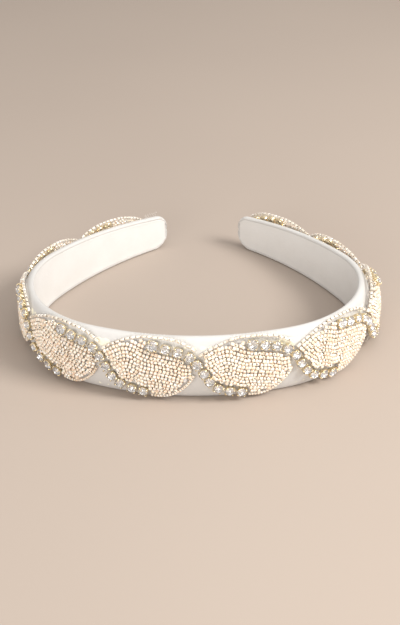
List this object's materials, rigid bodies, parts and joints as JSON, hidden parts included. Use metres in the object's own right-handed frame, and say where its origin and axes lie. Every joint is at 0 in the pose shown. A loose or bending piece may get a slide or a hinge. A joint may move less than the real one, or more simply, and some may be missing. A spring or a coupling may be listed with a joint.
{
  "type": "padded headband",
  "caption": "Padded satin headband with a springy core, its outer face covered by a trim of beaded leaves edged with rows of cup-set crystals.",
  "frame": {"origin": "middle of the headband's box, on the plane of its lower edge", "axes": "+Z across the band from the edge it rests on, +Y from the crown towards the two tips, +X to the right leg"},
  "size_m": [0.1544, 0.1395, 0.0291],
  "materials": {
    "core_plastic": "matte",
    "foam": "matte",
    "satin": "satin",
    "lining_satin": "satin",
    "net": "sheer",
    "seed_glass": "gloss",
    "outline_glass": "gloss",
    "setting_metal": "polished",
    "crystal_glass": "faceted gloss"
  },
  "bodies": {
    "crown": {"core_crown": "core_plastic", "foam_pad_crown": "foam", "satin_cover_crown": "satin", "lining_crown": "lining_satin", "net_backing_crown": "net", "seed_beads_05": "seed_glass", "seed_beads_06": "seed_glass", "outline_beads_05": "outline_glass", "outline_beads_06": "outline_glass", "stone_settings_05": "setting_metal", "stone_settings_06": "setting_metal", "crystals_05": "crystal_glass", "crystals_06": "crystal_glass"},
    "left_leg": {"core_left": "core_plastic", "foam_pad_left": "foam", "satin_cover_left": "satin", "lining_left": "lining_satin", "net_backing_left": "net", "seed_beads_01": "seed_glass", "seed_beads_02": "seed_glass", "seed_beads_03": "seed_glass", "seed_beads_04": "seed_glass", "outline_beads_01": "outline_glass", "outline_beads_02": "outline_glass", "outline_beads_03": "outline_glass", "outline_beads_04": "outline_glass", "stone_settings_01": "setting_metal", "stone_settings_02": "setting_metal", "stone_settings_03": "setting_metal", "stone_settings_04": "setting_metal", "crystals_01": "crystal_glass", "crystals_02": "crystal_glass", "crystals_03": "crystal_glass", "crystals_04": "crystal_glass"},
    "right_leg": {"core_right": "core_plastic", "foam_pad_right": "foam", "satin_cover_right": "satin", "lining_right": "lining_satin", "net_backing_right": "net", "seed_beads_07": "seed_glass", "seed_beads_08": "seed_glass", "seed_beads_09": "seed_glass", "seed_beads_10": "seed_glass", "outline_beads_07": "outline_glass", "outline_beads_08": "outline_glass", "outline_beads_09": "outline_glass", "outline_beads_10": "outline_glass", "stone_settings_07": "setting_metal", "stone_settings_08": "setting_metal", "stone_settings_09": "setting_metal", "stone_settings_10": "setting_metal", "crystals_07": "crystal_glass", "crystals_08": "crystal_glass", "crystals_09": "crystal_glass", "crystals_10": "crystal_glass"}
  },
  "joints": [
    {"name": "left_leg_flex", "type": "hinge", "parent": "crown", "child": "left_leg", "pos_m": [-0.03677, -0.06376, 0.0135], "axis": [0, 0, 1], "range_deg": [-8, 18], "stiffness_Nm_per_rad": 0.8},
    {"name": "right_leg_flex", "type": "hinge", "parent": "crown", "child": "right_leg", "pos_m": [0.0416, -0.06201, 0.0135], "axis": [0, 0, -1], "range_deg": [-8, 18], "stiffness_Nm_per_rad": 0.8}
  ]
}
